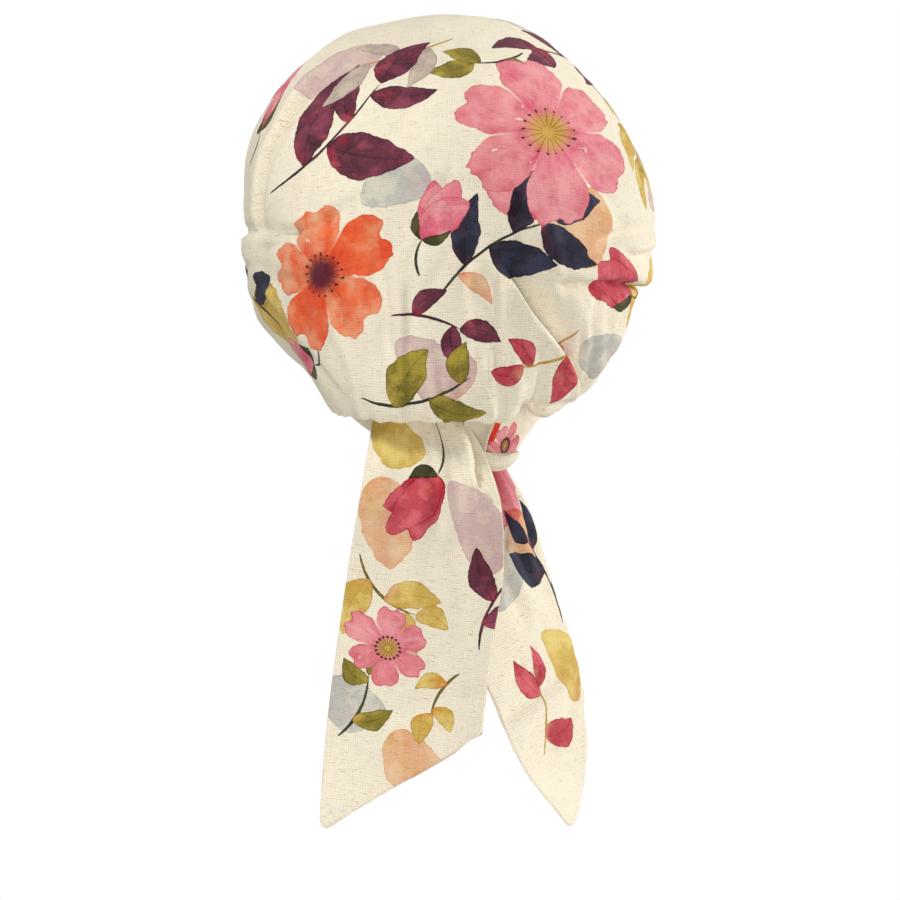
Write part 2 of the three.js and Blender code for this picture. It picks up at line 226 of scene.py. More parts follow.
# The knot's roll: its route, with half its height and half its depth at each point.
ROLL = (
    (-7, -96, -65.7, 4, 3),
    (5, -103, -69.2, 4.7, 3.6),
    (14, -107.5, -72.2, 5.1, 4.2),
    (24, -109, -75.6, 5.5, 4.4),
    (33, -107.5, -76, 5.1, 4),
    (40, -104.5, -73.6, 3.6, 3),
    (44.5, -100.5, -70.7, 1.3, 1.2),
)
ROLL_GRID = {"along": 110, "round": 48}
# The inside of the loop above the roll: places down its middle, half its width, how far that lies back.
LOOP = (
    (21.5, -111, -40, 11.5, 5),
    (20.5, -110.5, -52, 9.5, 5),
    (19.5, -109.5, -62, 6.5, 4),
    (19.5, -108.5, -74, 4, 2),
)
LOOP_GRID = {"along": 50, "across": 20}
LOOP_CLOTH = 1.3
# Half the loop's flat width, in mm.
LOOP_HALF = 10
# Where a strip's print is laid on one face, the other face counts as this far away.
FAR_AWAY = 1e4


def bell(x):
    return np.exp(-np.square(x))


def smooth(x, low, high):
    t = np.clip((x - low) / (high - low), 0, 1)
    return t * t * (3 - 2 * t)


def step_off(x, half):
    """0 below 0, where it rises to 1 within half on either side, and then it dies away."""
    return smooth(x, -half, half) * np.exp(-np.maximum(0, x))


def arch(share):
    """0 at both ends of a line and 1 at its middle."""
    return 4 * share * (1 - share)


def between(a, b, c, d, f):
    """A smooth curve through four evenly spaced values, read between the middle two."""
    return b + 0.5 * f * (c - a + f * (2 * a - 5 * b + 4 * c - d + f * (3 * (b - c) + d - a)))


def read_rows(rows, at, closed=False):
    """Each column of a table of evenly spaced rows, read at places between them. A closed one is a ring."""
    table = np.asarray(rows, float)
    count = len(table)
    i = np.floor(at).astype(int)
    if not closed:
        i = np.minimum(i, count - 2)
    near = [(i + k) % count if closed else np.clip(i + k, 0, count - 1) for k in (-1, 0, 1, 2)]
    return [between(*(column[k] for k in near), at - i) for column in table.T]


def turn_to(start, end):
    """The turn from one azimuth to others, from -180 to 180 degrees."""
    return (np.asarray(end, float) - start + 540) % 360 - 180


def arc_to(start, end):
    """The same turn in mm, at the radius of the creases."""
    return np.radians(turn_to(start, end)) * CREASE_RADIUS


def line_places(x, y, run_x, run_y):
    """The share of a line from 0, 0 that places are along, how far to its left, and its length."""
    length = math.hypot(run_x, run_y)
    return (x * run_x + y * run_y) / length ** 2, (y * run_x - x * run_y) / length, length


def past_ends(share, length):
    """How far beyond a line's ends places lie."""
    return np.maximum(0, np.maximum(-share, share - 1)) * length


def bezier(points, t):
    t = np.clip(t, 0, 1)
    weights = ((1 - t) ** 3, 3 * (1 - t) ** 2 * t, 3 * (1 - t) * t * t, t ** 3)
    return [sum(w * p[k] for w, p in zip(weights, points)) for k in (0, 1)]


def head_reach(azimuth):
    """The head opening's distance from the crown's axis."""
    sine, cosine = np.sin(np.radians(azimuth)), np.cos(np.radians(azimuth))
    back = HEAD["centre_y"] - AXIS_Y
    a = (sine / HEAD["half_width"]) ** 2 + (cosine / HEAD["half_depth"]) ** 2
    b = back * cosine / HEAD["half_depth"] ** 2
    c = (back / HEAD["half_depth"]) ** 2 - 1
    return (-b + np.sqrt(b * b - a * c)) / a


def around(azimuth, reach, z):
    angle = np.radians(azimuth)
    return np.stack([np.sin(angle) * reach, AXIS_Y - np.cos(angle) * reach, z + 0 * reach], -1)


def front_share(azimuth):
    """0 at the nape and 1 at the forehead."""
    return (1 - np.cos(np.radians(azimuth))) / 2


def band_top(azimuth):
    """The band's upper edge: its distance from the axis, the height of the rim below it, and its height."""
    reach = head_reach(azimuth)
    share = front_share(azimuth)
    y = AXIS_Y - np.cos(np.radians(azimuth)) * reach
    rim = HEAD["centre_z"] + HEAD["slope"] * (y - HEAD["centre_y"])
    height = BAND["height_back"] + (BAND["height_front"] - BAND["height_back"]) * share
    return reach + BAND["lean"] * (1 - 2 * share), rim, rim + height


def waves(points, kinds):
    """Smooth random waves over points, from rows of length, count, seed and height."""
    total = np.zeros(points.shape[:-1])
    for length, count, seed, height in kinds:
        random = np.random.default_rng(seed)
        for _ in range(count):
            direction = random.normal(size=3)
            direction *= FULL_TURN / length / np.linalg.norm(direction) * random.uniform(0.7, 1.4)
            total += height / math.sqrt(count) * np.sin(points @ direction + random.uniform(0, FULL_TURN))
    return total


def grid_normals(grid, closed):
    """The outward direction of a grid of points. Columns run round the axis if the grid is closed."""
    if closed:
        along = np.roll(grid, -1, 0) - np.roll(grid, 1, 0)
    else:
        along = np.gradient(grid, axis=0)
    normal = np.cross(along, np.gradient(grid, axis=1))
    return normal / np.maximum(np.linalg.norm(normal, axis=-1, keepdims=True), 1e-9)


def crown_base(azimuth, row):
    """The crown's outer cloth before its folds. Rows run from the seam by the hem to the crest."""
    azimuth, row = np.broadcast_arrays(azimuth, row)
    at = (azimuth / 360 % 1) * len(CROWN_SECTIONS)
    hem_r, hem_z, belly_r, belly_z, foot, low, rise, top = read_rows(CROWN_SECTIONS, at, True)
    reach, _, seam_z = band_top(azimuth)
    seam = (reach + SEAM_GAP, seam_z + SEAM_GAP)
    hem_z = hem_z + sum(up * bell(turn_to(here, azimuth) / wide) for here, wide, up in PUCKERS)
    width, height, turned_in = belly_r - hem_r, belly_z - hem_z, hem_r - seam[0]
    hem, belly = (hem_r, hem_z), (belly_r, belly_z)
    inner = (seam[0] + 0.6 * turned_in, seam[1] + 1)
    under = bezier((seam, inner, (hem_r - np.minimum(10, 0.4 * turned_in), hem_z), hem), row / UNDER)
    lower = bezier(
        (hem, (hem_r + foot * width, hem_z), (belly_r, belly_z - low * height), belly),
        (row - UNDER) / LOWER,
    )
    upper = bezier(
        (belly, (belly_r, belly_z + rise * (CREST_Z - belly_z)), (top * belly_r, CREST_Z), (0, CREST_Z)),
        (row - UNDER - LOWER) / UPPER,
    )
    first, second = row < UNDER, row < UNDER + LOWER
    r, z = (np.where(first, a, np.where(second, b, c)) for a, b, c in zip(under, lower, upper))
    return around(azimuth, r, z)


def crease_move(azimuth, z):
    """How far the creases and swellings move the crown's cloth outwards, and how far down."""
    out = np.zeros(azimuth.shape)
    down = np.zeros(azimuth.shape)
    for start, start_z, end, end_z, bow, lip, pinch, width, sag, fade in CREASES:
        run = float(arc_to(start, end))
        share, side, length = line_places(arc_to(start, azimuth), z - start_z, run, end_z - start_z)
        inner = np.clip(share, 0, 1)
        side = (side * math.copysign(1, run) - bow * arch(inner)) / width
        side += WEAVING * np.sin(6 * share + start)
        strength = bell(past_ends(share, length) / width / 2) * (1 - fade * inner)
        soft = lip * bell(side - 0.8) - pinch * bell((side + 0.6) / 0.75)
        half = STEP_HALF / width
        sharp = lip * step_off(side, half) - pinch * step_off(-side, half)
        out += (SHARP * sharp + (1 - SHARP) * soft) * strength
        down += sag * bell(side - 0.35) * strength
    for at_azimuth, at_z, wide, high, amount in SWELLINGS:
        out += amount * bell(arc_to(at_azimuth, azimuth) / wide) * bell((z - at_z) / high)
    return out, down


def wrinkle_move(azimuth, z):
    """How far the small wrinkles move the crown's cloth outwards."""
    random = np.random.default_rng(29)
    out = np.zeros(azimuth.shape)
    for start, end, low, high, heading, count, deep in WRINKLES:
        for _ in range(count):
            across = arc_to(random.uniform(start, end), azimuth)
            up = z - random.uniform(low, high)
            direction = math.radians(heading + random.uniform(-22, 22))
            length = random.uniform(*WRINKLE_LENGTH)
            width = random.uniform(*WRINKLE_WIDTH)
            depth = deep * random.uniform(0.55, 1.3)
            run = across * math.cos(direction) + up * math.sin(direction)
            side = up * math.cos(direction) - across * math.sin(direction)
            side = (side - 0.006 * run * run * random.uniform(-1, 1)) / width
            out += depth * (0.6 * bell(side - 0.7) - bell((side + 0.5) / 0.8)) * bell(run / length)
    return out


def gather_move(azimuth, row):
    """The small gathers that run up from the seam by the hem and fade out."""
    random = np.random.default_rng(11)
    total = np.zeros(azimuth.shape)
    past_hem = (row - UNDER)[None, :]
    from_seam = smooth(row, 0, 7)[None, :]
    place = 0.0
    while place < 360:
        width = random.uniform(*GATHER["width"])
        height = random.uniform(*GATHER["height"]) * (0.7 + front_share(place))
        reach = random.uniform(*GATHER["reach"]) * (0.6 + 0.8 * front_share(place))
        lean = random.uniform(*GATHER["lean"])
        shift = turn_to(place, azimuth) - lean * past_hem
        total += height * bell(shift / width) * bell(np.maximum(0, past_hem) / reach) * from_seam
        place += random.uniform(*GATHER["apart"])
    return total


def mesh_object(name, points, faces):
    mesh = bpy.data.meshes.new(name)
    mesh.from_pydata((np.asarray(points) * MM).tolist(), [], faces)
    mesh.update()
    mesh.shade_smooth()
    made = bpy.data.objects.new(name, mesh)
    bpy.context.scene.collection.objects.link(made)
    return made


def grid_faces(columns, rows, closed, offset=0, flipped=False):
    faces = []
    for i in range(columns if closed else columns - 1):
        following = (i + 1) % columns
        for j in range(rows - 1):
            a, b = offset + i * rows + j, offset + following * rows + j
            corners = (a, b, b + 1, a + 1)
            faces.append(corners[::-1] if flipped else corners)
    return faces


def store(made, name, values):
    """A value for each vertex, kept as an attribute that a material reads."""
    attribute = made.data.attributes.new(name, "FLOAT_VECTOR", "POINT")
    attribute.data.foreach_set("vector", np.asarray(values, np.float32).ravel())


def store_flat(made, flat, name="cloth", ahead=-1.0):
    """Flat places in mm for the weave. The third value is above 0 where the front map holds instead."""
    store(made, name, np.column_stack([flat, np.zeros(len(flat)) + ahead]))


def on_sphere(points, centre, pole, up, radius):
    """Flat places of points round a pole, as their distance and direction from it seen from the centre."""
    ray = points - centre
    ray = ray / np.linalg.norm(ray, axis=-1, keepdims=True)
    pole = pole / np.linalg.norm(pole)
    up = up - pole * (up @ pole)
    up = up / np.linalg.norm(up)
    right = np.cross(up, pole)
    angle = np.arccos(np.clip(ray @ pole, -1, 1))
    scale = radius * angle / np.maximum(np.sin(angle), 1e-6)
    return np.stack([ray @ right * scale, ray @ up * scale], -1)


def make_crown():
    """The crown, and the function that places its print."""
    rows = UNDER + LOWER + UPPER
    turn = np.arange(COLUMNS) / COLUMNS
    azimuth = 360 * (turn - CROWD * np.sin(FULL_TURN * turn))
    row = np.arange(rows + 1, dtype=float)
    az = np.repeat(azimuth[:, None], rows + 1, 1)
    base = crown_base(az, row[None, :])
    out, down = crease_move(az, base[..., 2])
    out += wrinkle_move(az, base[..., 2]) + waves(base, CROWN_WAVES)
    # The folds start past the hem and end before the crest, where all columns meet.
    folded = smooth(row, UNDER - 2, UNDER + 5) * (1 - smooth(row, rows - 8, rows - 1))
    out = out * folded + gather_move(az, row)
    moved = base + grid_normals(base, True) * out[..., None]
    moved[..., 2] -= down * folded
    made = mesh_object("crown_cloth", moved.reshape(-1, 3), grid_faces(len(azimuth), rows + 1, True))
    points = base.reshape(-1, 3)
    for name, pole, radius in CROWN_MAPS:
        flat = on_sphere(points, CROWN_CENTRE, np.array(pole), UP, radius)
        store_flat(made, flat, name, points[:, 1] - AXIS_Y)
    wall = made.modifiers.new("wall", "SOLIDIFY")
    wall.thickness = CROWN_CLOTH * MM
    wall.offset = -1
    wall.material_offset = 1

    def place(anchor):
        here, height = anchor
        outer = base[np.argmin(np.abs(turn_to(here, azimuth))), UNDER:]
        pole = outer[np.argmin(np.abs(outer[:, 2] - height))] - CROWN_CENTRE
        distance = np.linalg.norm(pole)
        steep = abs(pole[2]) >= 0.85 * distance
        return on_sphere(points, CROWN_CENTRE, pole, np.array((0, 1.0, 0)) if steep else UP, distance)

    return made, place


def edge_spaced(count, length, rounding=2.0):
    """Places from 0 to 1 along a length in mm, closer together near both ends."""
    near = np.array((0, 0.12, 0.4, 1.0)) * rounding / length
    return np.concatenate([near[:-1], np.linspace(near[-1], 1 - near[-1], count), 1 - near[-2::-1]])


def edge_half(distance, thickness, rounding=1.4):
    """Half a folded cloth's thickness, which is rounded off to nothing at its edges."""
    near = np.clip(distance / rounding, 0, 1)
    return thickness / 2 * np.sqrt(1 - (1 - near) ** 2)


def folded_cloth(name, middle, half, closed, flat, rear_shift=0.0):
    """A closed skin round a sheet's middle surface, with half its thickness and its flat place at each
    point. It comes with the function that places its print."""
    normal = grid_normals(middle, closed)
    columns, rows = middle.shape[:2]
    front = (middle + normal * half[..., None]).reshape(-1, 3)
    rear = (middle - normal * half[..., None] + rear_shift).reshape(-1, 3)
    faces = grid_faces(columns, rows, closed) + grid_faces(columns, rows, closed, len(front), True)
    made = mesh_object(name, np.concatenate([front, rear]), faces)
    weld = made.modifiers.new("edges", "WELD")
    weld.merge_threshold = 0.01 * MM
    both = np.tile(np.stack(flat, -1).reshape(-1, 2), (2, 1))
    store_flat(made, both)

    def place(anchor):
        side, across, along = anchor
        local = both - np.array((across, along))
        local[np.repeat((0, 1), len(front)) != side] = FAR_AWAY
        return local

    return made, place


def make_band():
    """The band, with its pleats at the knot."""
    azimuth = np.arange(BAND_GRID["columns"]) * 360 / BAND_GRID["columns"]
    az, share = np.meshgrid(azimuth, edge_spaced(BAND_GRID["rows"], BAND["mean"]), indexing="ij")
    top_reach, rim, top_z = band_top(az)
    tucked = bell(turn_to(TUCK["azimuth"], az) / TUCK["width"])
    pulled = bell(turn_to(PULL["azimuth"], az) / PULL["width"])
    rim = rim - PULL["drop"] * pulled - TUCK["drop"] * tucked
    foot = head_reach(az) + TUCK["out"] * tucked
    up = share * (top_z - rim)
    middle = around(az, foot + (top_reach - foot) * share - BAND["cloth"] / 2, rim + up)
    turn = turn_to(BAND_PLEATS["azimuth"], az)
    pleats = np.sin(share * 13 + 0.05 * turn) * BAND_PLEATS["height"] * bell(turn / BAND_PLEATS["width"])
    pleats = (pleats + waves(middle, BAND_WAVES)) * np.minimum(1, 1.5 * arch(share))
    middle = middle + grid_normals(middle, True) * pleats[..., None]
    edge = np.minimum(share, 1 - share) * (top_z - rim)
    ring = middle[:, ARC_ROW]
    arc = np.cumsum(np.linalg.norm(np.diff(ring, axis=0, prepend=ring[:1]), axis=-1))
    flat = (np.repeat(arc[:, None], share.shape[1], 1), up)
    return folded_cloth("band_cloth", middle, edge_half(edge, BAND["cloth"]), True, flat)


def tie_creases(side, down, creases):
    """How far a tie end's creases move it outwards, by the share across it and the mm down it."""
    out = 0 * side
    calm = 1 - 0.7 * smooth(np.abs(side), 0.8, 1)
    for side_a, down_a, side_b, down_b, lip, pinch, width in creases:
        run_across, run_down = (side_b - side_a) * CREASE_HALF, down_b - down_a
        across, along = (side - side_a) * CREASE_HALF, down - down_a
        share, left, length = line_places(across, along, run_across, run_down)
        off = -left / width
        ends = bell(past_ends(share, length) / width / 2.5)
        out += (lip * bell(off - 0.8) - pinch * bell((off + 0.3) / 0.9)) * ends * calm
    return out


def make_tail(name):
    """A tie end, cut on a slant between its long and its short edge."""
    tail = TAILS[name]
    across = edge_spaced(TIE["columns"], 2 * TIE["half"]) * 2 - 1
    side, share = np.meshgrid(across, edge_spaced(TIE["rows"], TIE["mean"])[::-1], indexing="ij")
    longer, shorter = tail["long_edge"], tail["short_edge"]
    length = (longer + shorter) / 2 - side * (longer - shorter) / 2
    arched = 1 - side * side
    down = (length + 2.5 * arched * share ** 3) * share
    x, y, z, half_width, bulge, turn, tilt = read_rows(tail["rows"], down / TAIL_STEP)
    turn, tilt = np.radians(turn), np.radians(tilt)
    reach = np.stack([np.cos(turn) * np.cos(tilt), np.sin(turn), np.cos(turn) * np.sin(tilt)], -1)
    outwards = np.stack([np.sin(turn), -np.cos(turn), 0 * turn], -1)
    downwards = np.stack([np.sin(tilt), 0 * tilt, -np.cos(tilt)], -1)
    middle = np.stack([x, y, z], -1) + reach * (side * half_width)[..., None]
    bulged = bulge * arched + tie_creases(side, down, tail["creases"]) + waves(middle, TIE_WAVES)
    bulged += TIE["pleat"] * np.cos(3 * math.pi * side) * bell(down / (1.2 * TAIL_STEP))
    middle = middle + outwards * bulged[..., None]
    from_end = (1 - share) * length
    inset = TIE["tip"] * (1 - np.sqrt(1 - np.clip(1 - from_end / TIE["tip"], 0, 1) ** 2)) * 0.62
    middle += reach * (inset * (bell((side + 1) * 4) - bell((side - 1) * 4)))[..., None]
    edge = np.minimum((1 - np.abs(side)) * half_width, np.minimum(share, 1 - share) * length)
    puckers = np.sin(down / 2.9 + 2 * np.sin(down / 17)) * 0.16 * bell((edge - 2.5) / 2)
    seam = 1 - 0.18 * bell((edge - 4.2) / 1.1)
    half = edge_half(edge, TIE["cloth"]) * seam + puckers * np.minimum(1, edge)
    peek = tail["peek"] * (bell((1 - side) * 12) + bell(from_end / 5) * smooth(side, -0.6, 0.2))
    shift = (reach + downwards * 0.6) * (peek * (1 - bell(edge / 0.35)))[..., None]
    return folded_cloth(name + "_cloth", middle, half, False, (side * TIE["half"], down), shift)


def across_route(route):
    """The outward and the upward direction at each point of a route."""
    ahead = np.gradient(route, axis=0)
    ahead /= np.linalg.norm(ahead, axis=1, keepdims=True)
    out = np.cross(ahead, UP)
    out /= np.linalg.norm(out, axis=1, keepdims=True)
    return out, np.cross(out, ahead)


def make_roll():
    """The knot's roll, with three ridges along it."""
    along, corners = ROLL_GRID["along"], ROLL_GRID["round"]
    at = np.linspace(0, len(ROLL) - 1, along)
    x, y, z, high, deep = read_rows(ROLL, at)
    route = np.stack([x, y, z], -1)
    out, up = across_route(route)
    a, t = np.meshgrid(np.linspace(0, FULL_TURN, corners, endpoint=False), at, indexing="ij")
    fold = (0.55 * np.sin(3 * a + 0.9 * t) + 0.3 * np.sin(5 * a - 0.7 * t + 1)) * high / 6
    rise = (high + fold) * np.cos(a)
    depth = (deep + 0.6 * fold) * np.sin(a)
    points = route + up * rise[..., None] + out * depth[..., None]
    ends = [[i * along for i in range(corners)][::-1], [(i + 1) * along - 1 for i in range(corners)]]
    made = mesh_object("knot_roll", points.reshape(-1, 3), grid_faces(corners, along, True) + ends)
    arc = np.cumsum(np.linalg.norm(np.diff(route, axis=0, prepend=route[:1]), axis=1))
    store_flat(made, np.stack([arc + 0 * a, a * 6], -1).reshape(-1, 2))
    return made


def make_loop():
    """The inside of the knot's loop, which shows between the hem and the roll."""
    count = LOOP_GRID["along"]
    x, y, z, half, back = read_rows(LOOP, np.linspace(0, len(LOOP) - 1, count))
    across = edge_spaced(LOOP_GRID["across"], 2 * LOOP_HALF) * 2 - 1
    side, row = np.meshgrid(across, np.arange(count), indexing="ij")
    middle = np.stack([x[row] + side * half[row], y[row] + back[row] * (1 - side * side), z[row]], -1)
    edge = np.minimum((1 - np.abs(side)) * LOOP_HALF, np.minimum(row, count - 1 - row) * 0.7)
    flat = (side * LOOP_HALF, -z[row])
    made, _ = folded_cloth("knot_loop", middle[:, ::-1], edge_half(edge, LOOP_CLOTH), False, flat)
    return made


# The print is laid in layers, so that motifs can overlap. Motifs of one layer stay this far apart, in mm,
# and a leaf that finds all layers taken where it lies is left out.
LEAF_LAYERS = 7
LAYER_GAP = 4.0
# How far beyond a motif's own shape its watercolour edge can reach, in mm.
PRINT_MARGIN = 5.0
# What a layer holds for each point: its place in the motif's own frame, and the motif's looks in threes.
LOOKS = ("place", "look", "form", "mood")
# Each print colour: where the paint is thin and where it is thick, as bytes.
INKS = {
    "pink": ((250, 178, 200), (228, 100, 144)),
    "rose": ((236, 116, 142), (180, 26, 62)),
    "coral": ((255, 118, 66), (232, 52, 18)),
    "navy": ((58, 64, 104), (16, 18, 44)),
    "plum": ((146, 66, 102), (66, 18, 46)),
    "olive": ((190, 176, 74), (110, 104, 30)),
    "green": ((104, 108, 58), (34, 42, 30)),
    "mauve": ((222, 212, 212), (184, 172, 178)),
    "ochre": ((240, 222, 146), (206, 170, 66)),
    "peach": ((248, 216, 192), (236, 176, 142)),
    "lilac": ((236, 220, 228), (212, 186, 208)),
    "mist": ((226, 230, 234), (184, 194, 212)),
}
INK_NUMBER = {name: k for k, name in enumerate(INKS)}
# Each spray's colouring: the leaves' two inks and the stem's.
SPRAY_INKS = {
    "navy": ("navy", "plum", "green"),
    "plum": ("plum", "rose", "plum"),
    "olive": ("olive", "ochre", "green"),
    "rose": ("rose", "peach", "ochre"),
    "peach": ("peach", "coral", "ochre"),
    "mauve": ("mauve", "peach", "ochre"),
    "pale_mauve": ("mauve", "lilac", "ochre"),
    "ochre": ("ochre", "peach", "olive"),
    "green_ochre": ("ochre", "olive", "olive"),
    "warm_ochre": ("ochre", "coral", "olive"),
}


def leaf(at, angle, length, half, bend, ink, second=None, blunt=0.85, vein=1, cover=1, fade=0, level=1):
    """A leaf, petal, stem or wash: a long shape from at, in mm, in the direction angle, in degrees."""
    return {
        "kind": "leaf",
        "at": at,
        "angle": angle,
        "level": level,
        "look": (length, half, bend),
        "form": (blunt, vein, cover),
        "mood": (INK_NUMBER[ink], fade, INK_NUMBER[second or ink]),
    }


def stem(angle, length, bend, ink, half=1.1):
    return leaf((0, 0), angle, length, half, bend, ink, blunt=0.25, vein=0, fade=0.15)


def wash(angle, length, half, bend, ink, second, blunt=0.6):
    """A pale patch of colour under the other motifs."""
    return [leaf((0, 0), angle, length, half, bend, ink, second, blunt, 0, 0, -0.1, 0)]


def blossom(radius, petals, ink, second, heart, turn=0.0, squash=1.0, notch=0.06):
    """An open blossom, squashed by squash across the direction turn."""
    return [{
        "kind": "bloom",
        "at": (0, 0),
        "angle": turn,
        "squash": squash,
        "look": (radius, petals, notch),
        "form": (INK_NUMBER[second], 0, 0),
        "mood": (INK_NUMBER[ink], INK_NUMBER[heart], turn / 60 % 1),
    }]


def on_stem(angle, length, bend, share, side=0.0):
    """A place on a stem that starts at 0, 0, and the stem's direction there."""
    facing = math.radians(angle)
    along, across = length * share, bend * arch(share) + side
    slope = math.degrees(math.atan(bend * 4 * (1 - 2 * share) / length))
    x = along * math.cos(facing) - across * math.sin(facing)
    y = along * math.sin(facing) + across * math.cos(facing)
    return (x, y), angle + slope


def spray(angle, length, bend, count, leaf_length, leaf_half, colouring, lean=44):
    """A stem with leaves on either side in turn, from 0.3 to 0.9 of its length, and one on its tip."""
    ink, second, stem_ink = SPRAY_INKS[colouring]
    parts = [stem(angle, length, bend, stem_ink)]
    for k in range(count):
        last = k == count - 1
        share = 1.0 if last else 0.3 + 0.6 * k / max(1, count - 2)
        at, heading = on_stem(angle, length, bend, share)
        side = 1 if k % 2 == 0 else -1
        size = 1.1 - 0.3 * share + 0.14 * math.sin(5 * k + angle)
        heading += 8 if last else side * (lean + 9 * math.sin(3 * k + length))
        half = leaf_half * size * (1 + 0.15 * math.sin(4 * k + length))
        parts.append(leaf(at, heading, leaf_length * size, half, side * 3.5, ink, second, vein=0.6))
    return parts


def bud(angle, size, ink, second, length, bend):
    """A cup of three petals in two green leaflets, on a stem that comes up from behind."""
    base, heading = on_stem(angle, length, bend, 1.0)
    parts = [stem(angle, length, bend, "green")]
    for side, fade in ((1, 0.2), (-1, 0.05)):
        bent = -side * size * 0.1
        parts.append(leaf(base, heading + side * 20, size, size * 0.29, bent, ink, second, 0.6, 0, 1, fade))
    parts.append(leaf(base, heading, size * 1.14, size * 0.27, 0, ink, second, 0.55, 0.2, 1, -0.15, 3))
    for side in (1, -1):
        turned = heading + side * 40
        parts.append(leaf(base, turned, size * 0.5, size * 0.09, side * 3, "green", None, 0.8, 0, 1, 0, 4))
    return parts


def berries(angle, count, size, ink, stem_ink="plum"):
    """Small round berries on a short branching stem."""
    length = 0.9 * size * count
    parts = [stem(angle, length, 3, stem_ink, 0.8)]
    for k in range(count):
        side = 1 if k % 2 == 0 else -1
        at, heading = on_stem(angle, length, 3, (k + 0.8) / count, side * size * 0.25)
        parts.append(leaf(at, heading + side * 42, size, size * 0.46, 0, ink, None, 0.5, 0, 1, 0.1, 2))
    return parts


# What is printed on the crown, by the azimuth and height it starts from.
CROWN_PRINT = (
    ((46, 84), wash(-150, 56, 23, 5, "peach", "ochre")),
    ((333, 176), wash(-150, 60, 20, 5, "lilac", "peach")),
    ((356, 100), wash(200, 46, 17, -6, "mist", "lilac")),
    ((66, 2), wash(62, 58, 20, 5, "ochre", "peach")),
    ((292, 30), wash(-56, 56, 20, 5, "ochre", "olive")),
    ((8, -22), wash(165, 54, 18, 6, "lilac", "peach")),
    ((64, -10), wash(172, 46, 15, 4, "mist", "lilac")),
    ((30, 128), blossom(70, 6, "pink", "rose", "ochre", 12, 0.86)),
    ((327, 38), blossom(56, 5, "coral", "peach", "plum", 40, 0.86, 0.12)),
    ((357, 22), spray(30, 92, 12, 5, 54, 12, "navy")),
    ((308, 90), spray(52, 98, -12, 5, 60, 13.5, "plum", 50)),
    ((353, 38), bud(86, 38, "pink", "rose", 22, 3)),
    ((346, 16), spray(-14, 42, 4, 3, 30, 8, "plum")),
    ((36, 176), spray(-170, 40, 5, 3, 38, 12, "olive")),
    ((84, 120), wash(-120, 50, 17, 4, "lilac", "peach")),
    ((4, 184), spray(-158, 62, 8, 4, 44, 9, "mauve")),
    ((70, 34), bud(-158, 44, "rose", "pink", 22, 5)),
    ((336, -36), spray(2, 70, -5, 4, 35, 9.5, "olive")),
    ((290, 104), bud(70, 50, "pink", "rose", 24, -5)),
    ((66, 160), spray(-84, 58, 8, 4, 42, 11, "green_ochre")),
    ((358, 74), spray(-78, 52, 6, 5, 26, 5.5, "peach", 38)),
    ((12, 96), wash(-60, 26, 11, 3, "pink", "rose")),
    ((322, -8), bud(-128, 34, "pink", "rose", 16, 4)),
    ((286, 26), spray(-34, 40, 5, 3, 34, 8.5, "navy")),
    ((40, 4), spray(-150, 44, 5, 3, 32, 8.5, "rose")),
    ((98, 104), blossom(46, 5, "rose", "pink", "ochre", 20, 0.92, 0.1)),
    ((96, 30), spray(70, 62, 6, 4, 42, 10, "olive")),
    ((130, 96), spray(104, 86, 9, 5, 50, 11.5, "navy")),
    ((152, 128), wash(60, 54, 20, 4, "peach", "ochre")),
    ((172, 150), blossom(54, 6, "pink", "rose", "plum", 50, 0.92)),
    ((204, 150), spray(66, 70, 8, 4, 44, 10, "ochre")),
    ((226, 110), blossom(46, 5, "coral", "peach", "ochre", 10, 0.92, 0.12)),
    ((206, 108), wash(100, 46, 17, 3, "lilac", "mist")),
    ((250, 50), spray(84, 72, -8, 5, 44, 10, "plum")),
    ((258, 124), bud(60, 42, "pink", "rose", 30, 4)),
    ((264, 12), berries(50, 4, 12, "plum")),
    ((146, 92), bud(-60, 34, "rose", "coral", 20, 3)),
    ((186, 188), spray(200, 62, 7, 4, 40, 9, "pale_mauve")),
    ((60, 196), wash(10, 56, 20, 4, "mist", "lilac")),
    ((250, 195), spray(38, 84, 9, 5, 44, 11, "navy")),
    ((150, 193), bud(160, 40, "rose", "coral", 30, -4)),
    ((96, 166), spray(150, 62, 7, 4, 40, 10, "plum")),
)
# What is printed on the strips: on the outer face (0) or the inner one (1), across and along from there.
LEFT_PRINT = (
    ((0, -46, 8), wash(24, 50, 15, 4, "ochre", "olive")),
    ((0, -38, 42), wash(74, 60, 19, -4, "peach", "ochre")),
    ((0, 42, 96), wash(-118, 60, 17, 5, "lilac", "peach")),
    ((0, -8, 200), wash(38, 50, 17, 5, "peach", "ochre")),
    ((0, -52, 176), wash(20, 44, 16, 4, "mist", "lilac")),
    ((0, 14, 6), bud(102, 44, "rose", "coral", 34, -5)),
    ((0, 30, 158), spray(118, 30, 3, 3, 24, 7, "warm_ochre")),
    ((0, -42, 92), spray(40, 52, 8, 4, 34, 9.5, "ochre")),
    ((0, -16, 148), blossom(31, 6, "pink", "rose", "ochre", 20, 0.9)),
    ((0, 40, 142), spray(-72, 50, -6, 4, 32, 8.5, "plum")),
    ((0, -40, 206), spray(-70, 42, 5, 3, 30, 8, "olive")),
)
RIGHT_PRINT = (
    ((0, -30, 92), wash(-50, 66, 22, 6, "mist", "lilac")),
    ((0, 40, 168), wash(-116, 56, 18, 5, "ochre", "peach")),
    ((0, 4, -16), wash(90, 66, 40, 0, "pink", "lilac", 0.3)),
    ((0, 26, 40), wash(96, 44, 17, 3, "peach", "coral")),
    ((0, 44, 120), spray(-104, 60, 7, 4, 38, 9.5, "navy")),
    ((0, -26, 180), spray(-60, 40, 5, 3, 30, 8, "rose")),
)
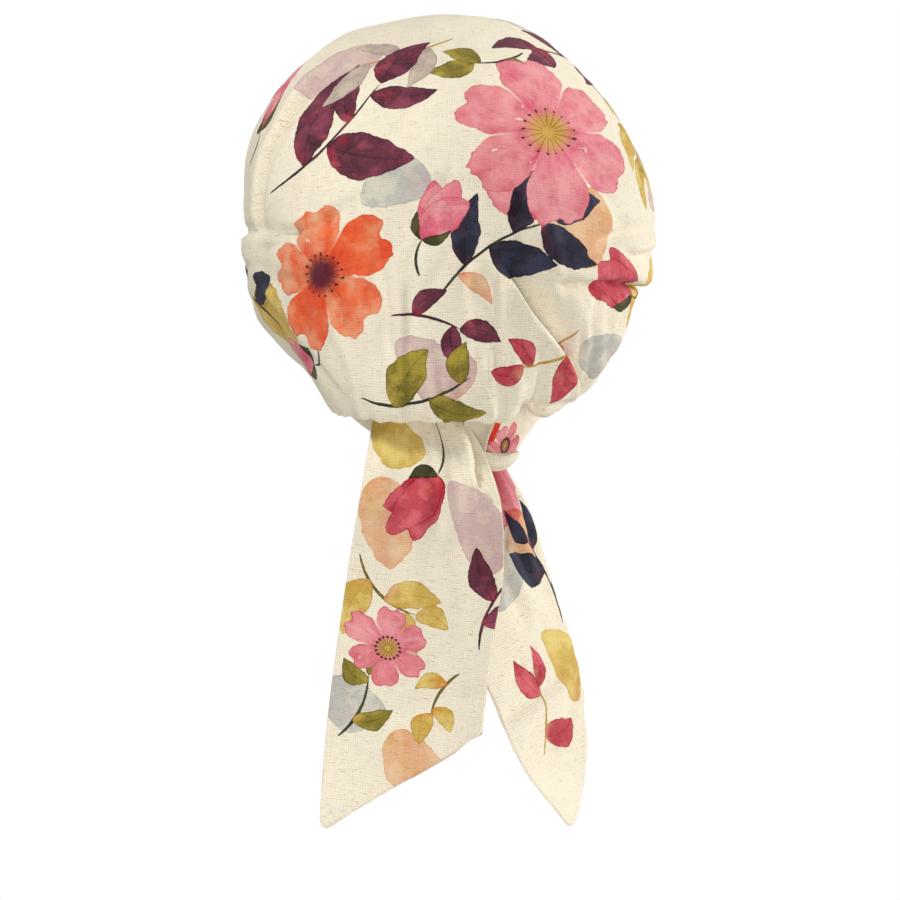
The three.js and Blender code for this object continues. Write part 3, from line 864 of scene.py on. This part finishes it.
BAND_PRINT = (
    ((0, 39, 12), blossom(15, 5, "pink", "rose", "ochre", 10)),
    ((0, 24.5, 22), [leaf((-1, -12), 74, 46, 3, -3, "coral", None, 0.4, 0, 1, 0.2, 2)]),
    ((0, 92, 32), bud(20, 28, "rose", "pink", 18, 2)),
    ((0, 150, 12), spray(-12, 50, 4, 4, 28, 7.5, "plum")),
    ((0, 214, 22), wash(10, 46, 14, 2, "lilac", "peach")),
    ((0, 270, 32), blossom(20, 5, "pink", "rose", "ochre", 10)),
    ((0, 318, 12), spray(16, 50, 4, 4, 28, 7.5, "navy")),
    ((0, 392, 22), berries(0, 4, 10, "coral", "olive")),
    ((0, 448, 32), spray(6, 50, 4, 4, 28, 7.5, "ochre")),
    ((0, 506, 12), wash(170, 40, 14, 2, "peach", "ochre")),
)


def both_faces(motifs, shift, flip):
    """A strip's print for its outer face, and the same motifs in other places on its inner face."""
    return motifs + tuple(((1, flip * across + shift, along), parts) for (_, across, along), parts in motifs)


def own_places(part, local):
    """Places in a motif's own frame: along the way it points, and to its left."""
    facing = math.radians(part["angle"])
    x, y = (local - np.array(part["at"])).T
    along = x * math.cos(facing) + y * math.sin(facing)
    left = y * math.cos(facing) - x * math.sin(facing)
    return along, left / part.get("squash", 1)


def within(part, x, y, margin):
    """The points that a motif's drawing reaches, with a margin in mm."""
    if part["kind"] == "bloom":
        return np.hypot(x, y) < part["look"][0] * 1.1 + margin
    length, half, bend = part["look"]
    off = np.abs(y - bend * arch(np.clip(x / length, 0, 1)))
    return (x > -margin) & (x < length + margin) & (off < half + margin)


def free_layer(layers, part, apart):
    """The first print layer that is still empty round a motif, or none."""
    names = ["bloom"]
    if part["kind"] == "leaf":
        names = [f"leaf{k}" for k in range(part["level"], LEAF_LAYERS)]
    for name in names:
        if name not in layers:
            layers[name] = {key: np.zeros((len(apart), 3)) for key in LOOKS}
            layers[name]["used"] = np.zeros(len(apart), bool)
        if not (layers[name]["used"] & apart).any():
            return layers[name]
    return None


def lay_print(made, place, motifs):
    """Gives a piece its print, as attributes that hold each motif's own coordinates and looks."""
    layers = {}
    for anchor, parts in motifs:
        local = place(anchor)
        for part in parts:
            x, y = own_places(part, local)
            layer = free_layer(layers, part, within(part, x, y, PRINT_MARGIN + LAYER_GAP))
            if layer is None:
                continue
            near = within(part, x, y, PRINT_MARGIN)
            layer["used"] |= near
            layer["place"][near] = np.stack([x, y, 1 + 0 * x], -1)[near]
            for key in LOOKS[1:]:
                layer[key][near] = part[key]
    for name, layer in layers.items():
        for key in LOOKS:
            store(made, name + "_" + key, layer[key])


class Value:
    """What a node gives. Arithmetic with it adds the nodes that work it out."""

    def __init__(self, nodes, socket):
        self.nodes = nodes
        self.socket = socket

    def work(self, operation, other):
        return self.nodes.math(operation, self, other)

    def __rsub__(self, other):
        return self.nodes.math("SUBTRACT", other, self)

    __add__ = __radd__ = partialmethod(work, "ADD")
    __sub__ = partialmethod(work, "SUBTRACT")
    __mul__ = __rmul__ = partialmethod(work, "MULTIPLY")
    __truediv__ = partialmethod(work, "DIVIDE")


class Nodes:
    """Builds a node tree: each method adds a node and gives its output."""

    def __init__(self, tree):
        self.tree = tree

    def feed(self, node, values):
        """Links or sets a node's inputs."""
        for key, value in dict(values).items():
            if isinstance(value, Value):
                self.tree.links.new(value.socket, node.inputs[key])
            else:
                node.inputs[key].default_value = value

    def add(self, kind, values=(), **settings):
        """Adds a node and gives all its outputs."""
        node = self.tree.nodes.new(kind)
        for name, value in settings.items():
            setattr(node, name, value)
        self.feed(node, values)
        return [Value(self, socket) for socket in node.outputs]

    def math(self, operation, *values):
        return self.add("ShaderNodeMath", enumerate(values), operation=operation)[0]

    size = partialmethod(math, "ABSOLUTE")
    larger = partialmethod(math, "MAXIMUM")
    above = partialmethod(math, "GREATER_THAN")
    power = partialmethod(math, "POWER")
    sine = partialmethod(math, "SINE")

    def clamp(self, value):
        return self.add("ShaderNodeClamp", {0: value})[0]

    def rise(self, value, low, high):
        """0 up to low, 1 from high on, and smooth between."""
        values = {0: value, 1: low, 2: high, 3: 0.0, 4: 1.0}
        return self.add("ShaderNodeMapRange", values, interpolation_type="SMOOTHSTEP")[0]

    def fall(self, value, low, high):
        return 1.0 - self.rise(value, low, high)

    def split(self, vector):
        return self.add("ShaderNodeSeparateXYZ", {0: vector})

    def join(self, x, y, z):
        return self.add("ShaderNodeCombineXYZ", {0: x, 1: y, 2: z})[0]

    def noise(self, vector, detail=2.0, roughness=0.5):
        values = {"Vector": vector, "Scale": 1.0, "Detail": detail, "Roughness": roughness}
        return self.add("ShaderNodeTexNoise", values)[0]

    def mix(self, share, a, b, blend="MIX"):
        return self.add("ShaderNodeMix", {0: share, 6: a, 7: b}, data_type="RGBA", blend_type=blend)[2]

    def attribute(self, name):
        return self.add("ShaderNodeAttribute", attribute_name=name)[1]

    def ink(self, number, thick):
        """An ink's colour by its number, where the paint is thin (0) or thick (1)."""
        colours = [pair[thick] for pair in INKS.values()]
        node = self.tree.nodes.new("ShaderNodeValToRGB")
        self.feed(node, {0: (number + 0.5) / len(colours)})
        ramp = node.color_ramp
        ramp.interpolation = "CONSTANT"
        while len(ramp.elements) < len(colours):
            ramp.elements.new(0.5)
        for k, colour in enumerate(colours):
            ramp.elements[k].position = k / len(colours)
            ramp.elements[k].color = linear(*colour)
        return Value(self, node.outputs[0])


def linear(red, green, blue):
    """A colour given as bytes, as Blender takes it."""
    parts = [v / 255 for v in (red, green, blue)]
    return tuple(v / 12.92 if v < 0.04045 else ((v + 0.055) / 1.055) ** 2.4 for v in parts) + (1.0,)


# A motif's inputs: what is printed already, the bare cloth, its own places and looks, and the cloth's noise.
COLOUR_INPUTS = ("Printed", "Ground")
VECTOR_INPUTS = ("Place", "Look", "Form", "Mood", "Noise")
# Paint fades out over these depths inside its outline, in mm.
PAINT_EDGE = (-0.25, 0.35)
# A point belongs to a motif where the third value of its place is above this.
INSIDE = 0.999
# The strength of the paint inside its outline.
BODY = 0.99
STAMENS = 17
STAMEN_COLOUR = linear(74, 30, 40)


def new_group(name):
    """A node group that paints one motif: its colour inputs, and the parts of its vector inputs."""
    tree = bpy.data.node_groups.new(name, "ShaderNodeTree")
    for label in COLOUR_INPUTS:
        tree.interface.new_socket(label, in_out="INPUT", socket_type="NodeSocketColor")
    for label in VECTOR_INPUTS:
        tree.interface.new_socket(label, in_out="INPUT", socket_type="NodeSocketVector")
    tree.interface.new_socket("Colour", in_out="OUTPUT", socket_type="NodeSocketColor")
    n = Nodes(tree)
    given = n.add("NodeGroupInput")
    return n, given[:2], [n.split(vector) for vector in given[2:2 + len(VECTOR_INPUTS)]]


def paint(n, given, body, tone, ink, second, run, cover, edge):
    """Paint over what is printed already, thin where tone is 0 and thick where it is 1.
    The second ink has run into the first by the share run, and the first has gathered along the edge."""
    tone = n.clamp(tone)
    thick = n.ink(ink, 1)
    first = n.mix(tone, n.ink(ink, 0), thick)
    other = n.mix(tone, n.ink(second, 0), n.ink(second, 1))
    printed, ground = given
    under = n.mix(cover, printed, ground)
    wet = n.mix(1.0, under, n.mix(run * 0.7, first, other), "MULTIPLY")
    wet = n.mix(edge * 0.38, wet, n.mix(1.0, wet, thick, "MULTIPLY"))
    return n.mix(body, printed, wet)


def leaf_group():
    """The painting of one leaf, petal, stem, berry or wash."""
    n, given, (place, look, form, mood, noise) = new_group("leaf_motif")
    x, y, inside = place
    length, half, bend = look
    blunt, vein, cover = form
    ink, fade, second = mood
    coarse, fine, mottle = noise
    length = n.larger(length, 1.0)
    along = x / length
    inner = n.clamp(along)
    off = n.size(y - bend * arch(inner))
    bow = n.sine(math.pi * n.power(inner, 0.8))
    outline = half * n.power(n.larger(bow, 0.0001), blunt)
    past = length * n.size(along - inner)
    shake = coarse * n.math("MINIMUM", half * 0.6, 7.0) + fine * n.math("MINIMUM", half * 0.6, 1.3)
    depth = outline - off - past + shake - 0.1
    body = n.rise(depth, *PAINT_EDGE) * n.above(inside, INSIDE) * BODY
    rib = vein * 0.5 * n.fall(off, 0.1, 0.7)
    slant = along * 9.0 - 1.5 * (off / n.larger(half, 1.0))
    side_rib = vein * 0.3 * n.rise(n.sine(slant * FULL_TURN), 0.86, 1.0)
    pool = 0.2 * n.fall(n.size(mottle - 0.52), 0.0, 0.04)
    tone = n.rise(mottle, 0.28, 0.72) * 0.85 + n.power(1.0 - inner, 2.0) * 0.35
    tone = tone + n.fall(depth, 0.1, 1.3) * 0.45 + rib + side_rib + pool + fade - 0.08
    run = n.rise(coarse * 1.5 + mottle * 0.5 - inner * 0.7, 0.0, 0.6)
    edge = cover * n.fall(depth, 0.2, 0.9)
    n.add("NodeGroupOutput", {0: paint(n, given, body, tone, ink, second, run, cover, edge)})
    return n.tree


def stamens(n, turn, reach, radius, share, coarse):
    """Where a blossom's stamens are: thin threads from its heart, with a small round head on each."""
    spoke = n.math("FRACT", turn * float(STAMENS)) - 0.5
    aside = n.size(spoke) * reach * (FULL_TURN / STAMENS)
    ring = radius * (0.25 + coarse * 0.16)
    thread = n.fall(aside, 0.1, 0.5) * n.rise(share, 0.05, 0.08) * n.math("LESS_THAN", reach, ring)
    head_off = reach - ring
    head = n.fall(n.math("SQRT", aside * aside + head_off * head_off), 0.7, 1.2)
    return n.larger(thread * 0.6, head * 0.95)


def bloom_group():
    """The painting of one open blossom."""
    n, given, (place, look, form, mood, noise) = new_group("bloom_motif")
    x, y, inside = place
    radius, petals, notch = look
    second = form[0]
    ink, heart, seed = mood
    coarse, fine, mottle = noise
    radius = n.larger(radius, 1.0)
    petals = n.larger(petals, 1.0)
    reach = n.math("SQRT", x * x + y * y)
    share = reach / radius
    turn = n.math("ARCTAN2", y, x) / FULL_TURN
    petal_turn = turn * petals + seed
    number = n.math("FLOOR", petal_turn)
    across = petal_turn - number - 0.5
    petal = n.math("WRAP", number, petals, 0.0)
    luck = n.math("FRACT", 437.5 * n.sine(petal * 12.99 + seed * 31.0))
    aside = 2.0 * n.size(across)
    dent = notch * n.fall(aside, 0.0, 0.3)
    outline = radius * (1.0 - luck * 0.16 - 0.36 * n.power(aside, 3.0) - dent)
    depth = outline - reach + coarse * radius * 0.26 + fine * 1.4
    gap = (1.0 - aside) * math.pi * (reach / petals) + fine * 1.2
    parted = n.fall(gap, 0.1, 1.0) * n.rise(share, 0.3, 0.6)
    inner = n.above(inside, INSIDE)
    grain = n.noise(n.join(petal_turn * 5.0, reach / 16.0, seed), 3.0, 0.6)
    tone = n.rise(mottle, 0.3, 0.75) * 0.45 + n.rise(grain, 0.4, 0.75) * 0.5
    tone = tone + n.fall(share, 0.12, 0.55) * 0.5 + n.rise(across, 0.12, 0.5) * 0.32
    tone = tone + n.fall(depth, 0.1, 2.0) * 0.35 - luck * 0.25
    run = n.rise(coarse * 1.4 + luck * 0.5 + share * 0.3, 0.25, 1.0)
    fleck = n.rise(grain, 0.66, 0.7) * n.rise(share, 0.22, 0.3) * n.fall(share, 0.6, 0.7)
    body = n.rise(depth, *PAINT_EDGE) * inner * (1.0 - parted * 0.85) * BODY * (1.0 - fleck * 0.75)
    edge = n.fall(depth, 0.2, 1.1)
    petals_done = paint(n, given, body, tone, ink, second, run, 1.0, edge)
    core = inner * n.fall(share + fine * 0.12, 0.1, 0.3)
    heart_paint = n.mix(0.35, n.ink(heart, 1), given[1], "MULTIPLY")
    cored = n.mix(core * 0.9, petals_done, heart_paint)
    dark = inner * stamens(n, turn, reach, radius, share, coarse)
    n.add("NodeGroupOutput", {0: n.mix(dark, cored, STAMEN_COLOUR)})
    return n.tree


# The spacing of the weave's yarn and its relief in mm, and the cloth's colours.
WEAVE = 1.35
YARN_RELIEF = 0.25
LINEN = {
    "cream": linear(243, 233, 209),
    "tan": linear(208, 172, 122),
    "shade": linear(232, 220, 196),
    # The cloth's back is unprinted, and this colour greys it as painted shade for the hollows where it shows.
    "reverse_shaded": linear(206, 196, 178),
}


def new_material(name):
    material = bpy.data.materials.new(name)
    material.use_nodes = True
    return material, Nodes(material.node_tree), material.node_tree.nodes["Principled BSDF"]


def flat_places(n):
    """The cloth's flat places in mm, from the front map where the third value is above 0."""
    back_x, back_y, ahead = n.split(n.attribute("cloth"))
    front_x, front_y, _ = n.split(n.attribute("cloth_front"))
    front = n.above(ahead, 0.0)
    return [back * (1.0 - front) + fore * front for back, fore in ((back_x, front_x), (back_y, front_y))]


def cloth_material(name, groups):
    """Slubby plain-woven linen, with the print of the given node groups, or the cloth's unprinted back,
    greyed as painted shade.
    """
    material, n, shader = new_material(name)
    x, y = flat_places(n)

    def cloud(across, along, seed, detail=2.0, roughness=0.5):
        return n.noise(n.join(x * across, y * along, seed), detail, roughness)

    drift = cloud(0.05, 0.05, 0.0, 1.0) * 2.0
    weft = n.sine(FULL_TURN * (y / WEAVE + drift))
    warp = n.sine(FULL_TURN * (x / WEAVE + drift))
    crossing = weft * warp
    weft_yarn = cloud(0.06, 1.5, 3.0, 2.0, 0.7) - 0.5
    warp_yarn = cloud(1.5, 0.05, 9.0, 2.0, 0.7) - 0.5
    weft_slub = n.rise(cloud(0.13, 1.4, 21.0, 3.0, 0.65), 0.58, 0.69)
    warp_slub = n.rise(cloud(1.4, 0.12, 33.0, 3.0, 0.65), 0.6, 0.71)
    height = weft * 0.3 + warp * 0.25 + crossing * 0.25 + weft_yarn * 1.6 + warp_yarn * 1.6
    height = height + weft_slub * 0.5 + warp_slub * 0.4
    colour = n.mix(n.clamp(weft_slub * 0.85 + warp_slub * 0.6), LINEN["cream"], LINEN["tan"])
    colour = n.mix(n.rise(cloud(0.02, 0.02, 5.0), 0.35, 0.7) * 0.25, colour, LINEN["shade"])
    if groups:
        wobble = cloud(0.075, 0.075, 1.0) - 0.5
        bleed = cloud(0.42, 0.42, 2.0, 3.0) - 0.5
        mottle = cloud(0.06, 0.06, 7.0, 4.0, 0.55)
        colour = add_print(n, groups, {"Ground": colour, "Noise": n.join(wobble, bleed, mottle)})
    else:
        # Painted shade: the unprinted back is greyed, as it lines the crown's inside and the knot's loop.
        colour = n.mix(0.55, colour, LINEN["reverse_shaded"])
    grain = cloud(1.3, 1.3, 41.0, 1.0) - 0.5
    # Painted shade in the weave: the colour is darker where the relief of weft, warp and their crossings is
    # low, between and under the threads. It also takes the threads' own uneven tone from the yarn and grain
    # noise.
    yarn_tone_and_shade = 0.945 + weft * 0.05 + warp * 0.036 + crossing * 0.03
    yarn_tone_and_shade = yarn_tone_and_shade + weft_yarn * 0.2 + warp_yarn * 0.2 + grain * 0.26
    relief = {"Strength": 0.5, "Distance": YARN_RELIEF * MM, "Height": height}
    bump = n.add("ShaderNodeBump", relief)
    n.feed(shader, {
        "Base Color": n.mix(1.0, colour, n.join(yarn_tone_and_shade, yarn_tone_and_shade, yarn_tone_and_shade), "MULTIPLY"),
        "Roughness": 0.84 + weft_yarn * 0.4,
        "Sheen Weight": 0.05,
        "Sheen Roughness": 0.5,
        "Specular IOR Level": 0.25,
        "Normal": bump[0],
    })
    return material


def add_print(n, groups, given):
    """Paints the print's layers over the cloth's colour, each on the one before."""
    printed = given["Ground"]
    for layer, group in [(f"leaf{k}", groups[0]) for k in range(LEAF_LAYERS)] + [("bloom", groups[1])]:
        looks = {key.capitalize(): n.attribute(f"{layer}_{key}") for key in LOOKS}
        printed = n.add("ShaderNodeGroup", node_tree=group, values={"Printed": printed, **given, **looks})[0]
    return printed


# The camera's distance in metres, its elevation, what it aims at in mm, and the width that it sees there.
CAMERA = {"distance": 4.0, "elevation": 3.0, "aim": (2.5, -60, -71.3), "across": 558}
# The camera's sensor, in mm.
SENSOR = 36
# Each lamp's place and size in metres, and its power in watts.
LAMPS = {
    "key": ((-1.0, -1.0, 2.0), 0.5, 36),
    "fill": ((0.35, -2.4, -0.7), 1.6, 28.5),
    "rim": ((2.0, 0.35, 0.45), 0.8, 35.5),
    "low": ((-1.8, -0.6, -0.8), 0.8, 6),
}
LAMP_AIM = (0, 0, -0.05)
WORLD_LIGHT = 0.3
FLOOR = {"z": -400, "radius": 320, "corners": 96}
PAPER = ((0.78, 0.78, 0.78, 1), (0.82, 0.82, 0.82, 1))


def facing(name, data, place, aim):
    """Adds a camera or lamp at its place, turned to its aim, both in metres."""
    made = bpy.data.objects.new(name, data)
    bpy.context.scene.collection.objects.link(made)
    made.location = place
    made.rotation_mode = "QUATERNION"
    made.rotation_quaternion = (Vector(aim) - Vector(place)).to_track_quat("-Z", "Y")
    return made


def make_camera():
    rise = math.radians(CAMERA["elevation"])
    aim = Vector(CAMERA["aim"]) * MM
    back = Vector((0, -math.cos(rise), math.sin(rise)))
    camera = facing("camera", bpy.data.cameras.new("camera"), aim + back * CAMERA["distance"], aim)
    camera.data.sensor_width = SENSOR
    camera.data.lens = SENSOR * CAMERA["distance"] / (CAMERA["across"] * MM)
    camera.data.clip_end = 50
    bpy.context.scene.camera = camera


def make_lamps():
    for name, (place, size, power) in LAMPS.items():
        light = bpy.data.lights.new(name, "AREA")
        light.size = size
        light.energy = power
        facing(name, light, place, LAMP_AIM)


def make_backdrop():
    """White to the camera, and brighter there than the light it gives, as paper lit from behind is."""
    world = bpy.data.worlds.new("studio")
    bpy.context.scene.world = world
    world.use_nodes = True
    n = Nodes(world.node_tree)
    seen = n.add("ShaderNodeLightPath")[0]
    strength = WORLD_LIGHT + seen * (1.0 - WORLD_LIGHT)
    n.feed(world.node_tree.nodes["Background"], {"Color": (1, 1, 1, 1), "Strength": strength})
    bpy.context.scene.view_settings.view_transform = "Standard"


def make_floor():
    turns = np.linspace(0, FULL_TURN, FLOOR["corners"], endpoint=False)
    radius = FLOOR["radius"]
    corners = [(radius * math.cos(turn), radius * math.sin(turn), FLOOR["z"]) for turn in turns]
    floor = mesh_object("floor", corners, [tuple(range(FLOOR["corners"]))])
    material, n, shader = new_material("floor")
    place = n.add("ShaderNodeNewGeometry")[0]
    speckle = n.noise(n.add("ShaderNodeVectorMath", {0: place, 3: 40.0}, operation="SCALE")[0])
    n.feed(shader, {"Base Color": n.mix(speckle, *PAPER), "Roughness": 0.9})
    floor.data.materials.append(material)


crown, crown_place = make_crown()
band, band_place = make_band()
tail_left, left_place = make_tail("tail_left")
tail_right, right_place = make_tail("tail_right")
roll = make_roll()
loop = make_loop()

right_side = cloth_material("printed_cloth", (leaf_group(), bloom_group()))
wrong_side_shaded = cloth_material("cloth_reverse_shaded", ())
for made in (crown, band, tail_left, tail_right, roll):
    made.data.materials.append(right_side)
# The back, greyed as painted shade, lines the crown's inside and makes the knot's loop.
for made in (crown, loop):
    made.data.materials.append(wrong_side_shaded)

lay_print(crown, crown_place, CROWN_PRINT)
lay_print(band, band_place, both_faces(BAND_PRINT, 230, 1))
lay_print(tail_left, left_place, both_faces(LEFT_PRINT, 0, -1))
lay_print(tail_right, right_place, both_faces(RIGHT_PRINT, 0, -1))

PIECES = (
    (crown, "crown"),
    (band, "band"),
    (tail_left, "tail_left"),
    (tail_right, "tail_right"),
    (roll, "knot"),
    (loop, "knot"),
)
for made, node in PIECES:
    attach(made, "root")
    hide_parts(node)

# Each sheet's cut, in metres. A tie end is cut on a slant, so its area is its width times its mean length.
TIE_WIDTH = 0.096
for made, name in ((tail_left, "tail_left"), (tail_right, "tail_right")):
    long_edge, short_edge = TAILS[name]["long_edge"] * MM, TAILS[name]["short_edge"] * MM
    area = TIE_WIDTH * (long_edge + short_edge) / 2

make_camera()
make_backdrop()
make_lamps()
make_floor()
